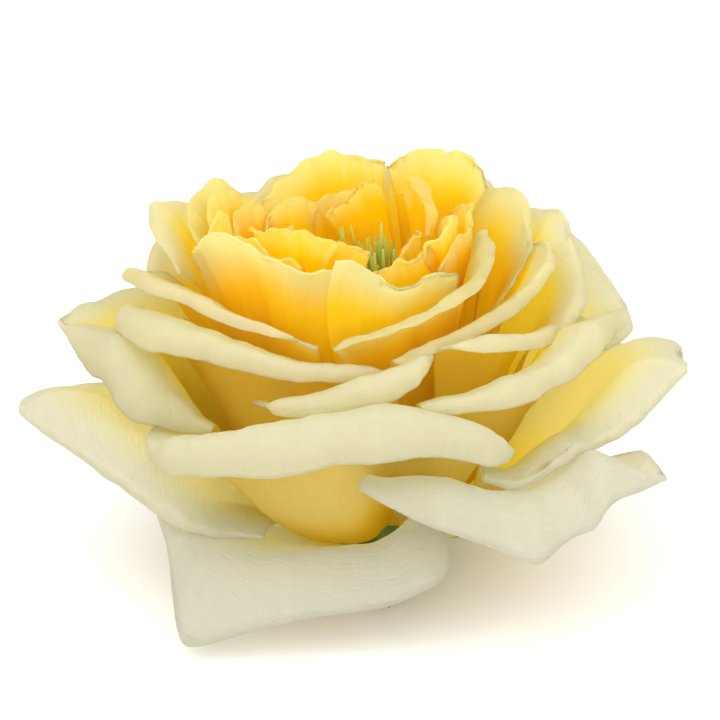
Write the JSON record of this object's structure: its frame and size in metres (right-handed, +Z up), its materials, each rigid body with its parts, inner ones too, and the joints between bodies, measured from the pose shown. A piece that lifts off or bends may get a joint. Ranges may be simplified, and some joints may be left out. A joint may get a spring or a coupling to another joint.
{
  "type": "cut rose head",
  "caption": "Fully open rose head cut under the hip, its outer petals rolled back and its inner petals gathered round a small ring of stamens; it rests on its cut neck and lowest petals.",
  "frame": {"origin": "centre of the bloom's box on the surface it rests on", "axes": "+Z up from the resting surface, +X to the right and -Y towards the side that the picture shows"},
  "size_m": [0.1104, 0.0974, 0.0698],
  "materials": {
    "petal_cream": "soft matt petal, pale cream with a yellow base",
    "petal_yellow": "soft matt petal, yellow with a cream margin",
    "petal_gold": "soft matt petal, golden yellow",
    "sepal_green": "dull green leaf",
    "hip_green": "smooth green skin with a pale cut face",
    "stamen_olive": "matt olive filaments with browner anthers"
  },
  "bodies": {
    "root": {"hip": "hip_green", "sepal_back_left": "sepal_green", "sepal_back_right": "sepal_green", "sepal_front": "sepal_green", "sepal_left": "sepal_green", "sepal_right": "sepal_green", "guard_petal_back_left": "petal_cream", "guard_petal_back_right": "petal_cream", "guard_petal_front_left": "petal_cream", "guard_petal_front_right": "petal_cream", "guard_petal_left": "petal_cream", "outer_petal_back": "petal_cream", "outer_petal_back_left": "petal_cream", "outer_petal_back_right": "petal_cream", "outer_petal_front": "petal_cream", "outer_petal_right": "petal_cream", "fold_petal_back": "petal_yellow", "fold_petal_back_right": "petal_yellow", "fold_petal_front": "petal_yellow", "fold_petal_left": "petal_yellow", "fold_petal_right": "petal_yellow", "collar_petal_back": "petal_yellow", "collar_petal_back_left": "petal_yellow", "collar_petal_left": "petal_yellow", "collar_petal_right": "petal_yellow", "cup_petal_back": "petal_yellow", "cup_petal_back_left": "petal_yellow", "cup_petal_front": "petal_yellow", "cup_petal_front_right": "petal_yellow", "cup_petal_left": "petal_yellow", "cup_petal_left_inner": "petal_yellow", "cup_petal_right": "petal_yellow", "heart_petal_back": "petal_gold", "heart_petal_back_right": "petal_gold", "heart_petal_front": "petal_gold", "heart_petal_front_left": "petal_gold", "heart_petal_front_right": "petal_gold", "heart_petal_left": "petal_gold", "heart_petal_right": "petal_gold", "inner_petal_back": "petal_gold", "inner_petal_back_left": "petal_gold", "inner_petal_curled": "petal_gold", "inner_petal_front": "petal_gold", "inner_petal_front_right": "petal_gold", "inner_petal_left": "petal_gold", "inner_petal_pointed": "petal_gold", "inner_petal_right": "petal_gold", "centre_petal_front": "petal_gold", "centre_petal_left": "petal_gold", "centre_petal_right": "petal_gold", "stamens": "stamen_olive"}
  },
  "joints": []
}
